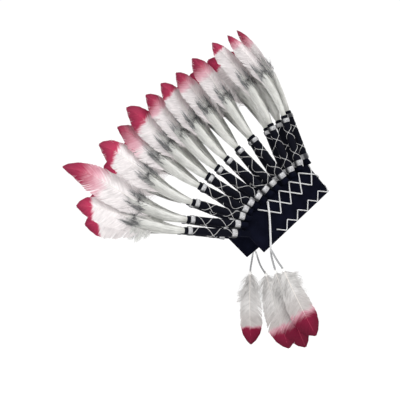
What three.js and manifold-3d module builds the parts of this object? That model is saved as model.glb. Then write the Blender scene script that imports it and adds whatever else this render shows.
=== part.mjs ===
// Feathered headdress: a folded felt band that carries a fan of wrapped sleeves, each with a
// fluffy plume and a curved feather, two zigzag cord trims, and feather drops on either side.
// Millimetres and degrees. +Z is up, the front faces -Y and the wearer's right is -X.
// The origin is the middle of the band's lower edge, between its two sides.
import * as THREE from "three";
import { mergeVertices } from "three/addons/utils/BufferGeometryUtils.js";
import Module from "manifold-3d";

const wasm = await Module();
wasm.setup();

// Fit between touching pieces
const gap = 0.3;

// Felt band, open at the back
const bandTilt = 40.5;
const bandHeight = 66;
const bandSide = 204;
const bandWall = 2.4;
const foldRadius = 13;
const sideSplay = 14.8;
const backEdgeLean = 5;

// Sleeves
const sleeveSpan = 83;
const sleeveRadius = 7;
const ringRadius = 7.9;
const lowerRingLength = 10;
const upperRingLength = 7.5;
const capLength = 6;
const capRadius = 6.4;
const stubRadius = 5.6;
const faceStub = 21;
const edgeSeatOut = 2;
const sleeveSides = 8;

// Plumes: a fluffy bundle with a feather that stands out of it
const plumeReach = 200;
const fluffLength = 88;
const fluffWidth = 36;
const fluffDepth = 12;
const fluffRootRadius = 5.2;
const bladeWidth = 62;
const bladeThickness = 2.2;
const bladeCup = 3;
const bladeBase = 50;
const shingleAngle = 22;
const tipCurl = 18;
const startPull = 0.35;
const endPull = 0.3;

// The left side's rows stand closer to the front than the right side's, by a share of their
// distance along it up to leftFar, and lean less to the rear. Their plumes are shorter and
// sweep further to the rear.
const leftForward = 0.11;
const leftUpright = 7;
const leftFar = 0.8;
const leftReach = 0.92;
const leftSweep = 6;

// Trims on the band's outer face
const latticeRadius = 1;
const latticeLow = bandHeight - 35;
const latticeHigh = bandHeight - 1.5;
const latticeHalf = bandSide / 6.375;
const edgeCordRadius = 0.9;
const edgeZigHeight = 15;
const edgeZigPitch = 31;
const edgeZigCount = 5;
const edgeCordLift = 1.2;
const trimSides = 5;
const trimStep = 4;

// Drops
const dropCordRadius = 1.7;
const dropCordSides = 8;
const knotRadius = 3.2;
const dropWidth = 43;
const dropThickness = 2;

// One row for the front sleeve and one for each pair behind it: "along" is the place of the
// ring along the side as a share of bandSide, "ring" its height as a share of bandHeight,
// "lean" the sleeve's lean to the rear, "inward" how far its top leans to the middle as a
// share of sleeveSpan, "stub" the length of a stub that is sewn to the outer face as a share
// of faceStub, or 0 for one that stands on the top edge, "reach" the plume's length as a
// share of plumeReach, "aim" the plume's own lean to the rear and "broad" its feather's width
// as a share of bladeWidth.
const rows = [
  { along: 0, ring: 1.2, lean: -20, inward: 0, stub: 0, reach: 0.96, aim: -8.5, broad: 0.8 },
  { along: 0.132, ring: 1.19, lean: -21, inward: -0.15, stub: 0, reach: 0.97, aim: -6.5, broad: 0.9 },
  { along: 0.25, ring: 1.21, lean: -16, inward: -0.085, stub: 0, reach: 0.98, aim: -5.5, broad: 1 },
  { along: 0.362, ring: 1.23, lean: -4, inward: 0.03, stub: 0, reach: 0.95, aim: -2.5, broad: 1.08 },
  { along: 0.49, ring: 1.24, lean: 2, inward: 0.1, stub: 0, reach: 0.93, aim: 0, broad: 1.02 },
  { along: 0.588, ring: 1.24, lean: 9, inward: 0.13, stub: 0, reach: 0.94, aim: 2.5, broad: 1.05 },
  { along: 0.69, ring: 1.23, lean: 13.5, inward: 0.15, stub: 0, reach: 0.95, aim: 6, broad: 1.05 },
  { along: 0.795, ring: 1.23, lean: 17, inward: 0.16, stub: 0, reach: 0.98, aim: 12, broad: 1.1 },
  { along: 0.878, ring: 1.2, lean: 22, inward: 0.15, stub: 0, reach: 0.93, aim: 17.5, broad: 1.08 },
  { along: 0.966, ring: 1.13, lean: 35, inward: 0.1, stub: 1, reach: 0.99, aim: 22, broad: 1.12 },
  { along: 1.052, ring: 1.06, lean: 47, inward: 0.05, stub: 1, reach: 1.19, aim: 31, broad: 1.12 },
  { along: 1.135, ring: 0.94, lean: 50, inward: 0, stub: 1.5, reach: 0.99, aim: 41, broad: 0.95 },
];

// Turning points of the two crossing cords, each as the place along the side in half pitches
// of the lattice, and 0 for its low line or 1 for its high line
const latticeA = [
  { half: 0, up: 1 },
  { half: 1.05, up: 0 },
  { half: 2.15, up: 1 },
  { half: 3, up: 0 },
  { half: 4.05, up: 1 },
];
const latticeB = [
  { half: 0, up: 0 },
  { half: 1.25, up: 1 },
  { half: 2, up: 0 },
  { half: 3.1, up: 1 },
  { half: 3.95, up: 0 },
  { half: 5, up: 1 },
];

// Sections of a fluffy bundle: "at" is a share of fluffLength, "wide" and "deep" are shares
// of its half width and half depth, and "lock" lengthens every second corner
const fluffSections = [
  { at: 0.14, wide: 0.46, deep: 0.85, lock: 0 },
  { at: 0.45, wide: 0.7, deep: 0.95, lock: 0 },
  { at: 0.82, wide: 0.95, deep: 1, lock: 0 },
  { at: 0.93, wide: 0.92, deep: 0.86, lock: 0.16 },
  { at: 0.86, wide: 0.45, deep: 0.45, lock: 0 },
];

// Sections of a feather blade: "at" is a share of its length, "front" and "rear" are shares
// of its half width on either side of the shaft, and "thick" of its thickness
const bladeSections = [
  { at: 0, front: 0.08, rear: 0.08, thick: 1 },
  { at: 0.15, front: 0.38, rear: 0.46, thick: 1 },
  { at: 0.32, front: 0.7, rear: 0.85, thick: 0.95 },
  { at: 0.52, front: 0.88, rear: 1.06, thick: 0.85 },
  { at: 0.72, front: 0.92, rear: 1.08, thick: 0.75 },
  { at: 0.86, front: 0.7, rear: 0.84, thick: 0.65 },
  { at: 0.95, front: 0.36, rear: 0.46, thick: 0.6 },
  { at: 1, front: 0.05, rear: 0.05, thick: 0.5 },
];

// Routes of the hanging cords, from the lattice's last turn or from the first cord down to
// the knots. Chosen by hand; the four feathers hang from their ends.
const rightLongRoute = [
  [-44.6, 60.6, 31.6],
  [-45.6, 60.5, 27],
  [-47.5, 60.2, 20],
  [-49.4, 59.8, 13],
  [-50.6, 59.5, 5],
  [-51.6, 59.3, -4],
  [-52.7, 59.3, -13],
  [-54.2, 59.5, -22],
  [-56, 59.8, -31],
  [-57.6, 60, -40],
  [-59, 60.4, -49],
  [-59.8, 60.6, -57],
  [-60, 60.2, -65],
  [-60, 58.8, -73],
  [-60, 56.4, -82],
  [-60, 54.2, -89.5],
  [-60, 53.4, -93.5],
];
const rightShortRoute = [
  [-63.6, 60.8, -57.3],
  [-64.1, 59.9, -60],
  [-65, 58, -64],
  [-65.6, 55.2, -69.5],
  [-66.2, 51.8, -75.5],
  [-66.6, 48, -81.5],
  [-66.9, 44, -87],
  [-67, 41.8, -90.6],
];
const leftLongRoute = [
  [44.6, 60.6, 31.6],
  [45.6, 60.5, 27],
  [47.5, 60.2, 20],
  [49.4, 59.8, 13],
  [50.6, 59.5, 5],
  [51.6, 59.3, -4],
  [52.7, 59.3, -13],
  [54.2, 59.4, -22],
  [56, 59.4, -31],
  [57.6, 59.5, -40],
  [59, 60, -49],
  [59.8, 61, -57],
  [60, 62.4, -65],
  [60, 64, -74],
  [60, 65.4, -82],
  [60, 66, -88],
];
const leftShortRoute = [
  [61.7, 57.6, -45.9],
  [63.3, 55.2, -48.8],
  [64, 52.9, -53.2],
  [64.6, 50.6, -59.5],
  [64.9, 48.4, -66.5],
  [65, 45.6, -74],
  [65, 41.6, -82],
  [65, 37.2, -88.6],
  [65, 35.4, -91.4],
];

// Where each drop feather's tip hangs, from its knot: "back" along +Y and "down" along -Z,
// and its width as a share of dropWidth
const drops = [
  { name: "right_long", route: rightLongRoute, back: -54, down: 134, flare: 0, broad: 1.15 },
  { name: "right_short", route: rightShortRoute, back: -57, down: 117, flare: -6, broad: 1.1 },
  { name: "left_long", route: leftLongRoute, back: 0, down: 138, flare: 0, broad: 1 },
  { name: "left_short", route: leftShortRoute, back: -48, down: 143, flare: 6, broad: 1.35 },
];

const colours = {
  felt: { color: 0x10131f, roughness: 0.95, metalness: 0 },
  silverCord: { color: 0xb9bcc2, roughness: 0.4, metalness: 0.6 },
  sleeve: { color: 0x17181c, roughness: 0.6, metalness: 0.1 },
  plume: { color: 0xe9e7e6, roughness: 0.8, metalness: 0 },
  drop: { color: 0xeae6e8, roughness: 0.8, metalness: 0 },
};

const radians = THREE.MathUtils.degToRad;
const splay = radians(sideSplay);
const foldTurn = Math.PI / 2 - splay;
const foldArc = foldRadius * foldTurn;
const bandDepth =
  foldRadius * (1 - Math.cos(foldTurn)) + (bandSide - foldArc) * Math.cos(splay);
const up = new THREE.Vector3(0, 0, 1);

function materialOf(colour) {
  return new THREE.MeshStandardMaterial(colour);
}

function meshOf(name, geometry, colour) {
  const mesh = new THREE.Mesh(geometry, materialOf(colour));
  mesh.name = name;
  return mesh;
}

// The band's outer face at a distance along it from the front; negative is the right side
function bandPlace(along, out = 0) {
  const side = along < 0 ? -1 : 1;
  const length = Math.abs(along);
  const turn = Math.min(length, foldArc) / foldRadius;
  const straight = Math.max(length - foldArc, 0);
  const rear = new THREE.Vector3(side * Math.sin(splay), Math.cos(splay), 0);
  const outward = new THREE.Vector3(side * Math.sin(turn), -Math.cos(turn), 0);
  const point = new THREE.Vector3(
    side * foldRadius * Math.sin(turn),
    foldRadius * (1 - Math.cos(turn)) - bandDepth / 2,
    0,
  );
  point.addScaledVector(rear, straight).addScaledVector(outward, out);
  return { point, outward, rear };
}

// A solid through a row of sections with equal numbers of corners, closed at both ends
function loft(sections) {
  const corners = sections[0].length;
  const vertices = sections.flat();
  const faces = [];
  for (let i = 0; i + 1 < sections.length; i++)
    for (let j = 0; j < corners; j++) {
      const a = i * corners + j;
      const b = i * corners + ((j + 1) % corners);
      faces.push(a, b, b + corners, a, b + corners, a + corners);
    }
  for (const [row, flip] of [[0, true], [sections.length - 1, false]]) {
    const middle = vertices.length;
    const centre = new THREE.Vector3();
    sections[row].forEach((p) => centre.addScaledVector(p, 1 / corners));
    vertices.push(centre);
    for (let j = 0; j < corners; j++) {
      const a = row * corners + j;
      const b = row * corners + ((j + 1) % corners);
      faces.push(...(flip ? [middle, b, a] : [middle, a, b]));
    }
  }
  const geometry = new THREE.BufferGeometry().setFromPoints(vertices);
  geometry.setIndex(volumeOf(vertices, faces) < 0 ? faces.reverse() : faces);
  return geometry;
}

function volumeOf(vertices, faces) {
  let volume = 0;
  const cross = new THREE.Vector3();
  for (let i = 0; i < faces.length; i += 3) {
    const [a, b, c] = [0, 1, 2].map((k) => vertices[faces[i + k]]);
    volume += cross.crossVectors(a, b).dot(c);
  }
  return volume;
}

function solidOf(geometry) {
  const bare = geometry.clone();
  bare.deleteAttribute("normal");
  bare.deleteAttribute("uv");
  const merged = mergeVertices(bare, 1e-3);
  return new wasm.Manifold(
    new wasm.Mesh({
      numProp: 3,
      vertProperties: merged.attributes.position.array,
      triVerts: new Uint32Array(merged.index.array),
    }),
  );
}

function fuse(geometries) {
  const joined = geometries.map(solidOf).reduce((a, b) => a.add(b));
  const mesh = joined.getMesh();
  const geometry = new THREE.BufferGeometry();
  geometry.setAttribute("position", new THREE.BufferAttribute(mesh.vertProperties, 3));
  geometry.setIndex(new THREE.BufferAttribute(mesh.triVerts, 1));
  return geometry;
}

// Felt band: a strip bent round the front fold, its back edges leaning to the rear
function bandGeometry() {
  const foldSteps = 5;
  const sideSteps = 4;
  const half = [];
  for (let i = 1; i <= foldSteps; i++) half.push((foldArc * i) / foldSteps);
  for (let i = 1; i <= sideSteps; i++)
    half.push(foldArc + ((bandSide - foldArc) * i) / sideSteps);
  const stations = [...half.map((a) => -a).reverse(), 0, ...half];
  const topReach = bandHeight * Math.tan(radians(backEdgeLean));
  const section = (along) => {
    const atEnd = Math.abs(along) > bandSide - gap;
    const top = along + (atEnd ? Math.sign(along) * topReach : 0);
    const corner = (where, out, height) =>
      bandPlace(where, out).point.addScaledVector(up, height);
    return [
      corner(along, 0, 0),
      corner(top, 0, bandHeight),
      corner(top, -bandWall, bandHeight),
      corner(along, -bandWall, 0),
    ];
  };
  return loft(stations.map(section));
}

// A thin cord laid on the band's outer face through turning points {along, height}
function faceCord(turns, radius, lift) {
  const places = [];
  turns.forEach((turn, i) => {
    if (i > 0) {
      const from = turns[i - 1];
      const bends = Math.min(Math.abs(from.along), Math.abs(turn.along)) < foldArc;
      const steps = bends ? Math.ceil(Math.abs(turn.along - from.along) / trimStep) : 1;
      for (let k = 1; k < steps; k++)
        places.push({
          along: THREE.MathUtils.lerp(from.along, turn.along, k / steps),
          height: THREE.MathUtils.lerp(from.height, turn.height, k / steps),
        });
    }
    places.push(turn);
  });
  const centres = places.map(({ along, height }) => {
    const { point, outward } = bandPlace(along, gap + lift + radius);
    return { point: point.addScaledVector(up, height), outward };
  });
  const sections = centres.map(({ point, outward }, i) => {
    const before = centres[Math.max(i - 1, 0)].point;
    const after = centres[Math.min(i + 1, centres.length - 1)].point;
    const across = new THREE.Vector3().subVectors(after, before).cross(outward).normalize();
    return Array.from({ length: trimSides }, (_, k) => {
      const angle = (2 * Math.PI * k) / trimSides;
      return point
        .clone()
        .addScaledVector(outward, radius * Math.cos(angle))
        .addScaledVector(across, radius * Math.sin(angle));
    });
  });
  return loft(sections);
}

// The same turning points on both sides, from the right one's end round to the left one's
function mirrored(turns) {
  const right = turns.slice(1).reverse();
  return [...right.map((t) => ({ ...t, along: -t.along })), ...turns];
}

function latticeGeometry() {
  const placed = (rowsOfCord) =>
    mirrored(
      rowsOfCord.map(({ half, up: high }) => ({
        along: half * latticeHalf,
        height: THREE.MathUtils.lerp(latticeLow, latticeHigh, high),
      })),
    );
  return fuse([latticeA, latticeB].map((cord) => faceCord(placed(cord), latticeRadius, 0)));
}

function edgeCordGeometry() {
  const turns = [];
  for (let i = 0; i <= 2 * edgeZigCount; i++)
    turns.push({
      along: (edgeZigPitch * i) / 2,
      height: i % 2 ? edgeCordLift : edgeZigHeight,
    });
  return faceCord(mirrored(turns), edgeCordRadius, 0);
}

// Sleeve: black stub, silver ring, wrapped tube, silver ring and black cap, along +Y
function sleeveGeometry(stub) {
  const half = lowerRingLength / 2;
  const top = sleeveSpan + upperRingLength / 2;
  const profile = [
    [0, -stub],
    [stubRadius, -stub],
    [stubRadius, -half],
    [ringRadius, -half],
    [ringRadius, half],
    [sleeveRadius, half],
    [sleeveRadius, top - upperRingLength],
    [ringRadius, top - upperRingLength],
    [ringRadius, top],
    [capRadius, top],
    [capRadius, top + capLength],
    [0, top + capLength],
  ];
  return new THREE.LatheGeometry(
    profile.map(([r, y]) => new THREE.Vector2(r, y)),
    sleeveSides,
  );
}

// Where a row's sleeve stands on one side of the band, which way it points and how far its
// stub reaches below the ring. A stub of 0 in the table stands on the felt's top edge.
function sleevePose(row, side) {
  const place = side * row.along * bandSide;
  const { outward, rear } = bandPlace(place);
  if (row.along === 0) rear.set(0, 1, 0);
  const lean = radians(row.lean);
  const direction = up
    .clone()
    .multiplyScalar(Math.cos(lean))
    .addScaledVector(rear, Math.sin(lean))
    .addScaledVector(outward, -row.inward)
    .normalize();
  const height = row.ring * bandHeight;
  const onEdge = row.stub === 0;
  const faceOut = row.faceOut ?? stubRadius + gap;
  const out = onEdge ? edgeSeatOut : faceOut;
  const drift = direction.dot(outward) / direction.z;
  const base = bandPlace(place, out).point.addScaledVector(up, height);
  base.addScaledVector(outward, drift * (height - bandHeight));
  // The foot's disc is tilted, so it clears the wall where it dips lowest over it
  const slant = Math.abs(direction.dot(new THREE.Vector3().crossVectors(up, outward)));
  const dips = [edgeSeatOut, edgeSeatOut + bandWall].map((inside) => {
    const halfChord = Math.sqrt(Math.max(stubRadius ** 2 - inside ** 2, 0));
    return (slant * halfChord) / direction.z - inside * drift;
  });
  const edgeStub = (height - bandHeight - gap - Math.max(...dips)) / direction.z;
  return { base, direction, rear, outward, stub: onEdge ? edgeStub : row.stub * faceStub };
}

// The plume's centre line, from the sleeve's cap to the feather's tip
function plumeCurve(row, { base, direction, rear, outward }) {
  const start = sleeveSpan + upperRingLength / 2 + capLength + gap;
  const root = base.clone().addScaledVector(direction, start);
  const reach = row.reach * plumeReach;
  const heading = (degrees) =>
    up
      .clone()
      .multiplyScalar(Math.cos(radians(degrees)))
      .addScaledVector(rear, Math.sin(radians(degrees)));
  const tip = base
    .clone()
    .addScaledVector(direction, sleeveSpan)
    .addScaledVector(heading(row.aim), reach);
  return new THREE.CubicBezierCurve3(
    root,
    root.clone().addScaledVector(direction, startPull * reach),
    tip.clone().addScaledVector(heading(row.aim + tipCurl), -endPull * reach),
    tip,
  );
}

// Width and depth directions of a plume at a share of its length
function plumeFrame(curve, share, rear, outward, shingle) {
  const along = curve.getTangentAt(share);
  const flat = rear.clone().addScaledVector(along, -rear.dot(along)).normalize();
  const wide = flat.clone().applyAxisAngle(along, shingle);
  if (wide.dot(outward) < 0) wide.copy(flat).applyAxisAngle(along, -shingle);
  const deep = new THREE.Vector3().crossVectors(along, wide).normalize();
  if (deep.dot(outward) < 0) deep.negate();
  return { at: curve.getPointAt(share), along, wide, deep };
}

function fluffGeometry(curve, frameAt) {
  const length = curve.getLength();
  const corners = sleeveSides;
  const section = ({ at, wide, deep, lock }) =>
    Array.from({ length: corners }, (_, k) => {
      const reach = at + (k % 2 ? lock : 0);
      const frame = frameAt(Math.min((reach * fluffLength) / length, 1));
      const angle = (2 * Math.PI * (k + 0.5)) / corners;
      return frame.at
        .clone()
        .addScaledVector(frame.wide, (wide * fluffWidth * Math.cos(angle)) / 2)
        .addScaledVector(frame.deep, (deep * fluffDepth * Math.sin(angle)) / 2);
    });
  const rootDiameter = 2 * fluffRootRadius;
  const root = {
    at: 0,
    wide: rootDiameter / fluffWidth,
    deep: rootDiameter / fluffDepth,
    lock: 0,
  };
  return loft([root, ...fluffSections].map(section));
}

function bladeGeometry(placeAt, width, thickness, cup) {
  const section = ({ at, front, rear, thick }) => {
    const { at: centre, wide, deep } = placeAt(at);
    const edge = (reach) =>
      centre
        .clone()
        .addScaledVector(wide, (reach * width) / 2)
        .addScaledVector(deep, -cup * reach * reach);
    return [
      edge(rear),
      centre.clone().addScaledVector(deep, (thick * thickness) / 2),
      edge(-front),
      centre.clone().addScaledVector(deep, (-thick * thickness) / 2),
    ];
  };
  return loft(bladeSections.map(section));
}

function plumeGeometry(row, pose) {
  const curve = plumeCurve(row, pose);
  const front = row.along === 0;
  const across = front ? new THREE.Vector3(1, 0, 0) : pose.rear;
  const shingle = front ? 0 : radians(shingleAngle);
  const frameAt = (share) => plumeFrame(curve, share, across, pose.outward, shingle);
  const base = bladeBase / curve.getLength();
  const bladeAt = (share) => frameAt(THREE.MathUtils.lerp(base, 1, share));
  return fuse([
    fluffGeometry(curve, frameAt),
    bladeGeometry(bladeAt, row.broad * bladeWidth, bladeThickness, bladeCup),
  ]);
}

function leftRow(row) {
  const far = Math.min(row.along, leftFar);
  const ringOnFace = row.ring * bandHeight - ringRadius < bandHeight;
  return {
    ...row,
    along: row.along - leftForward * far,
    lean: row.lean - leftUpright * far,
    reach: Math.min(row.reach, 1) * leftReach,
    aim: row.aim + leftSweep,
    faceOut: (ringOnFace ? ringRadius : stubRadius) + gap,
  };
}

// Sleeves and plumes: one of each at the front, then a pair for each further row
function fanOf() {
  const fan = new THREE.Group();
  rows.forEach((row, index) => {
    const sides = index === 0 ? { front: 1 } : { right: -1, left: 1 };
    for (const [sideName, side] of Object.entries(sides)) {
      const label = index === 0 ? sideName : sideName + "_" + String(index).padStart(2, "0");
      const own = side > 0 && index > 0 ? leftRow(row) : row;
      const pose = sleevePose(own, side);
      const sleeve = meshOf(
        "sleeve_" + label,
        sleeveGeometry(pose.stub),
        colours.sleeve,
      );
      sleeve.position.copy(pose.base);
      sleeve.quaternion.setFromUnitVectors(new THREE.Vector3(0, 1, 0), pose.direction);
      fan.add(sleeve, meshOf("plume_" + label, plumeGeometry(own, pose), colours.plume));
    }
  });
  return fan;
}

// A hanging cord of round section along its route
function dropCordGeometry(route) {
  const curve = new THREE.CatmullRomCurve3(route.map((p) => new THREE.Vector3(...p)));
  const corners = Array.from({ length: dropCordSides }, (_, k) => {
    const angle = (2 * Math.PI * k) / dropCordSides;
    return new THREE.Vector2(
      dropCordRadius * Math.cos(angle),
      dropCordRadius * Math.sin(angle),
    );
  });
  return new THREE.ExtrudeGeometry(new THREE.Shape(corners), {
    extrudePath: curve,
    steps: Math.round(curve.getLength() / (5 * dropCordRadius)),
    bevelEnabled: false,
  });
}

// A small feather that hangs from a knot at the end of its cord
function dropFeatherGeometry({ route, back, down, flare, broad }) {
  const end = new THREE.Vector3(...route[route.length - 1]);
  const before = new THREE.Vector3(...route[route.length - 2]);
  const heading = end.clone().sub(before).normalize();
  const knotCentre = end.clone().addScaledVector(heading, gap + knotRadius);
  const tip = end.clone().add(new THREE.Vector3(flare, back, -down));
  const curve = new THREE.QuadraticBezierCurve3(
    knotCentre,
    knotCentre.clone().lerp(tip, 0.5).add(new THREE.Vector3(flare / 2, knotRadius, 0)),
    tip,
  );
  const outward = new THREE.Vector3(Math.sign(end.x), 0, 0);
  const placeAt = (share) => {
    const along = curve.getTangentAt(share);
    const wide = new THREE.Vector3().crossVectors(along, outward).normalize();
    return { at: curve.getPointAt(share), along, wide, deep: outward };
  };
  const knot = new THREE.SphereGeometry(knotRadius, 8, 6);
  knot.translate(knotCentre.x, knotCentre.y, knotCentre.z);
  return fuse([knot, bladeGeometry(placeAt, broad * dropWidth, dropThickness, 2)]);
}

const headdress = new THREE.Group();
const bandGroup = new THREE.Group();
bandGroup.rotation.x = radians(-bandTilt);
bandGroup.add(
  meshOf("band", bandGeometry(), colours.felt),
  meshOf("diamond_cord", latticeGeometry(), colours.silverCord),
  meshOf("edge_cord", edgeCordGeometry(), colours.silverCord),
  fanOf(),
);
headdress.add(bandGroup);
for (const drop of drops)
  headdress.add(
    meshOf("drop_cord_" + drop.name, dropCordGeometry(drop.route), colours.silverCord),
    meshOf("drop_feather_" + drop.name, dropFeatherGeometry(drop), colours.drop),
  );

export default headdress;
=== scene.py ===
"""Looks of a feathered headdress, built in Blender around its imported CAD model."""

import math

import bpy
import numpy as np
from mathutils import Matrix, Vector


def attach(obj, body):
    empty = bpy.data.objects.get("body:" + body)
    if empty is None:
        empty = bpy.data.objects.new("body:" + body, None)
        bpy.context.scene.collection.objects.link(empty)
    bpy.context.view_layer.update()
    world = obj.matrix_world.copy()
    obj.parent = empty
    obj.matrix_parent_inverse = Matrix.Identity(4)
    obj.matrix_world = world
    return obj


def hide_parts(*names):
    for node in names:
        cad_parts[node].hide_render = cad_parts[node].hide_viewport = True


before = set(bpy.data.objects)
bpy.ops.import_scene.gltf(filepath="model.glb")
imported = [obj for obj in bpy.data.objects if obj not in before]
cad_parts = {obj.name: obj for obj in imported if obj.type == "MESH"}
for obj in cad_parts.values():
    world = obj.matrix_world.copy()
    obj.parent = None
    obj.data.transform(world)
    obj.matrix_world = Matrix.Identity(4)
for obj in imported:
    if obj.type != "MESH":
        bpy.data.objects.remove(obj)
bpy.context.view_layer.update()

# Lengths are in millimetres, and Surfaces.make turns them into metres. Angles are in degrees.
MM = 0.001
SEED = 20

# Camera: it looks up at the right side of the headdress
CAMERA_TARGET = (0, 176.4, 37.1)
CAMERA_DISTANCE = 1447.2
CAMERA_HEADING = 168.46
CAMERA_RISE = -8.51
CAMERA_LENS = 71.05

# Stage: the floor, the white surroundings, and each lamp with the direction that it shines from
FLOOR_DROP = 560
FLOOR_RADIUS = 9000
SURROUNDINGS = 1.04
LAMP_DISTANCE = 2200
LAMPS = [
    ("key", "SUN", 1.0, (-0.55, -0.25, 1.0), dict(angle=math.radians(35))),
    ("side", "AREA", 10, (-1.0, 0.9, 0.15), dict(shape="DISK", size=1.4)),
    ("fill", "AREA", 9, (0.15, 1.0, -0.1), dict(shape="DISK", size=1.2)),
]

# Colours as linear red, green and blue; a pair holds the two that a pattern mixes
FELT = ((0.0012, 0.0015, 0.0045), (0.0042, 0.005, 0.0125))
CLOTH = ((0.0012, 0.0014, 0.0035), (0.007, 0.0078, 0.0145))
LINT = (0.022, 0.024, 0.034)
CORD_SILVER = ((0.5, 0.5, 0.51), (0.93, 0.93, 0.93))
# Silver in painted shade, for hanging cords below the band
SILVER_IN_PAINTED_SHADE = ((0.2, 0.2, 0.205), (0.5, 0.5, 0.51))
THREAD_SILVER = ((0.32, 0.32, 0.33), (0.93, 0.92, 0.9))
RING_SILVER = ((0.13, 0.13, 0.14), (0.72, 0.72, 0.73))
# Painted shade on a ring's sides, between neighbouring sleeves
RING_PAINTED_SHADE = (0.035, 0.036, 0.04)
# The second colour of DOWN serves both the streaks and the painted shade at a bundle's edges
DOWN = ((0.7, 0.7, 0.67), (0.47, 0.47, 0.45))
DOWN_ROOT = (0.5, 0.5, 0.47)
SMOKE = (0.23, 0.24, 0.245)
WISPS = ((0.02, 0.021, 0.024), (0.36, 0.36, 0.36))
PLUME_RED = ((0.42, 0.03, 0.085), (0.15, 0.006, 0.03))
PLUME_WHITE = ((0.86, 0.815, 0.815), (0.52, 0.487, 0.487))
DROP_RED = ((0.2, 0.005, 0.033), (0.085, 0.0015, 0.014))
DROP_WHITE = ((0.75, 0.735, 0.725), (0.39, 0.38, 0.37))
# Painted shade that greys a feather's white before its dye
PAINTED_SHADE_GREY = (0.3, 0.25, 0.24)
PINK = (0.62, 0.13, 0.24)
QUILL = ((0.62, 0.57, 0.53), (0.82, 0.79, 0.76))
QUILL_RED = (0.36, 0.02, 0.06)
GLUE = ((0.74, 0.73, 0.7), (0.86, 0.86, 0.85))
FLOOR = ((0.93, 0.93, 0.93), (0.95, 0.95, 0.95))

# Surfaces of the silver cords, and the depths in metres between which a hanging cord turns grey with
# painted shade below the band
SHINY = {"Metallic": 0.2, "Roughness": 0.42}
MATT = {"Roughness": 0.5, "Specular IOR Level": 0.15}
PAINTED_SHADE_DEPTHS = (0.05, 0.066)

# Feathers: how softly the dye starts, the dye, the white, and how much painted shade darkens the
# white before the dye
FEATHER_LOOKS = dict(
    sharp_vane=(0.12, PLUME_RED, PLUME_WHITE, 0),
    soft_vane=(0.55, PLUME_RED, PLUME_WHITE, 0),
    dusty_vane=(0.95, PLUME_RED, PLUME_WHITE, 0),
    sharp_drop=(0.12, DROP_RED, DROP_WHITE, 0.45),
    mid_drop=(0.28, DROP_RED, DROP_WHITE, 0.45),
)
DYE_LINE = 0.13

# Felt band, as in the CAD model
BAND_TILT = 40.5
BAND_HEIGHT = 66
BAND_SIDE = 204
BAND_WALL = 2.4
FOLD_RADIUS = 13
SIDE_SPLAY = 14.8
BACK_EDGE_LEAN = 5
GAP = 0.3

# Sleeves, as in the CAD model
SLEEVE_SPAN = 83
SLEEVE_RADIUS = 7
RING_RADIUS = 7.9
LOWER_RING = 10
UPPER_RING = 7.5
CAP_LENGTH = 6
CAP_RADIUS = 6.4
STUB_RADIUS = 5.6
FACE_STUB = 21
EDGE_SEAT_OUT = 2

# Details of the band and the sleeves that only the looks have
FELT_EDGE = 0.9
FOOT_RADIUS = 8.3
FOOT_SINK = 2
WRAP_TUCK = 0.6
THREAD_RADIUS = 0.4
THREAD_PITCH = 40
RING_FLUTES = 30

# Material slots of a sleeve
WRAP, RING, THREAD, STUB = range(4)

# Plumes, as in the CAD model
PLUME_REACH = 200
FLUFF_LENGTH = 88
FLUFF_WIDTH = 36
FLUFF_DEPTH = 12
BLADE_WIDTH = 62
BLADE_CUP = 3
BLADE_BASE = 50
SHINGLE = 22
TIP_CURL = 18
START_PULL = 0.35
END_PULL = 0.3

# Barbs on each side of a feather and the hairs on a bundle
BARBS = 200
BARB_TILT = 0.22
PARTINGS = 5
FLUFF_HAIRS = 520
TUFTS = 6
TUFT_HAIRS = 75
DARK_HAIRS = 20
STITCHES = 60
SKIRT_TUFTS = 9

# The left side's rows, as in the CAD model, and their dye
LEFT_FORWARD = 0.11
LEFT_UPRIGHT = 7
LEFT_FAR = 0.8
LEFT_REACH = 0.92
LEFT_SWEEP = 6
LEFT_DYE = 0.78

# Trims on the band's outer face
LATTICE_RADIUS = 1
LATTICE_LOW = BAND_HEIGHT - 35
LATTICE_HIGH = BAND_HEIGHT - 1.5
LATTICE_HALF = BAND_SIDE / 6.375
LATTICE_STEP_OUT = 0.7
EDGE_CORD_RADIUS = 0.9
EDGE_ZIG_HEIGHT = 15
EDGE_ZIG_PITCH = 31
EDGE_ZIG_COUNT = 5
EDGE_CORD_LIFT = 1.2

# Drops
DROP_CORD_RADIUS = 1.7
KNOT_RADIUS = 3.2
DROP_WIDTH = 43
DROP_CUP = 2
DROP_DOWN = 190

# Spiky down beside a feather's base: how many barbs, on which side, from which share of the
# feather to which, and how far they reach as a share of its width
PLUME_SKIRT = dict(count=170, side=1, low=0.06, high=0.26, reach=0.47)
REAR_SKIRT = dict(count=110, side=-1, low=0.22, high=0.36, reach=0.44)
FRONT_SKIRT = dict(count=150, side=-1, low=0.06, high=0.24, reach=0.34)

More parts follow.
